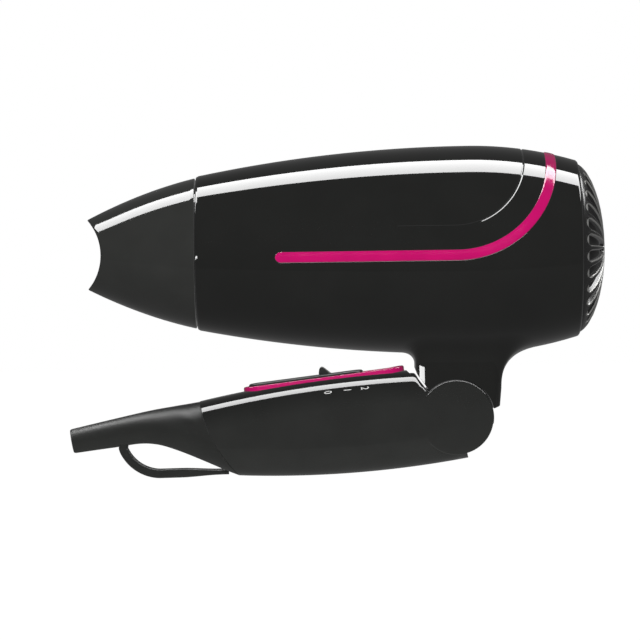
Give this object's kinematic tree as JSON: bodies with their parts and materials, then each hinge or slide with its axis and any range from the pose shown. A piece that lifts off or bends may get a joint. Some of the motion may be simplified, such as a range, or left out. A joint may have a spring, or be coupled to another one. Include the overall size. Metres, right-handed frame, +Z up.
{
  "type": "folding travel hair dryer",
  "caption": "Folding travel hair dryer with a concentrator nozzle, domed rear grille, hinged handle with a sliding switch, and a cord sleeve with a hanging loop.",
  "frame": {"origin": "centre of the barrel's front rim, where the nozzle seats", "axes": "+X along the barrel from the outlet to the intake, +Z up, away from the folded handle, +Y to the side that the screws are driven from"},
  "size_m": [0.2147, 0.0836, 0.1311],
  "materials": {
    "barrel_gloss": "high-gloss black moulding",
    "handle_gloss": "semi-gloss black moulding",
    "nozzle_gloss": "semi-gloss dark grey moulding",
    "magenta_gloss": "glossy magenta inlay",
    "grille_gloss": "glossy black ribs, dark metallic rim",
    "slider_satin": "satin dark grey",
    "sleeve_rubber": "matte black rubber",
    "mica": "mica sheet",
    "heater_wire": "oxidised heating wire",
    "duct_plastic": "matte heat-resistant plastic",
    "fan_plastic": "matte black",
    "can_steel": "plated steel",
    "cap_plastic": "white moulded plastic",
    "ferrite": "sintered ferrite",
    "sintered_bronze": "oil-filled sintered bronze",
    "board_laminate": "green laminate",
    "spring_steel": "spring steel",
    "core_steel": "laminated steel",
    "copper": "copper",
    "screw_steel": "blackened steel",
    "lead_insulation": "silicone insulation",
    "switch_plastic": "black moulding",
    "lever_plastic": "white acetal",
    "capacitor_film": "yellow film capacitor",
    "clamp_plastic": "black moulding",
    "ceramic": "ceramic"
  },
  "bodies": {
    "barrel": {"housing_left": "barrel_gloss", "housing_right": "barrel_gloss", "trim_band": "magenta_gloss", "intake_grille": "grille_gloss", "lint_screen": "duct_plastic", "outlet_guard": "duct_plastic", "mica_tube": "mica", "mica_cross": "mica", "heating_coils": "heater_wire", "thermostat": "can_steel", "thermal_fuse": "ceramic", "fan_duct": "duct_plastic", "motor_can": "can_steel", "motor_end_cap": "cap_plastic", "motor_magnets": "ferrite", "motor_bearings": "sintered_bronze", "rectifier_board": "board_laminate", "hinge_bushes": "sintered_bronze", "housing_screws": "screw_steel", "barrel_leads": "lead_insulation"},
    "rotor": {"motor_shaft": "spring_steel", "rotor_core": "core_steel", "commutator": "copper", "fan": "fan_plastic"},
    "nozzle_ring": {"nozzle_clip": "spring_steel"},
    "nozzle": {"nozzle": "nozzle_gloss"},
    "handle": {"handle_left": "handle_gloss", "handle_right": "handle_gloss", "hinge_plates": "spring_steel", "hinge_washers": "spring_steel", "switch_trim": "magenta_gloss", "switch_block": "switch_plastic", "switch_terminals": "copper", "handle_screws": "screw_steel", "handle_leads": "lead_insulation", "filter_capacitor": "capacitor_film", "cord_clamp": "clamp_plastic", "clamp_screws": "can_steel", "cord_sleeve": "sleeve_rubber"},
    "switch": {"slider": "slider_satin", "switch_lever": "lever_plastic"}
  },
  "joints": [
    {"name": "handle_fold", "type": "hinge", "parent": "barrel", "child": "handle", "pos_m": [0.1025, 0, -0.0665], "axis": [0, -1, 0], "range_deg": [0, 85]},
    {"name": "switch_slide", "type": "slide", "parent": "handle", "child": "switch", "axis": [0.9932, 0, 0.1168], "range_m": [0, 0.0132]},
    {"name": "nozzle_pull", "type": "slide", "parent": "barrel", "child": "nozzle_ring", "axis": [-1, 0, 0], "range_m": [0, 0.03]},
    {"name": "nozzle_turn", "type": "hinge", "parent": "nozzle_ring", "child": "nozzle", "pos_m": [0, 0, 0], "axis": [1, 0, 0], "continuous": true},
    {"name": "fan_spin", "type": "hinge", "parent": "barrel", "child": "rotor", "pos_m": [0, 0, 0], "axis": [1, 0, 0], "continuous": true}
  ]
}
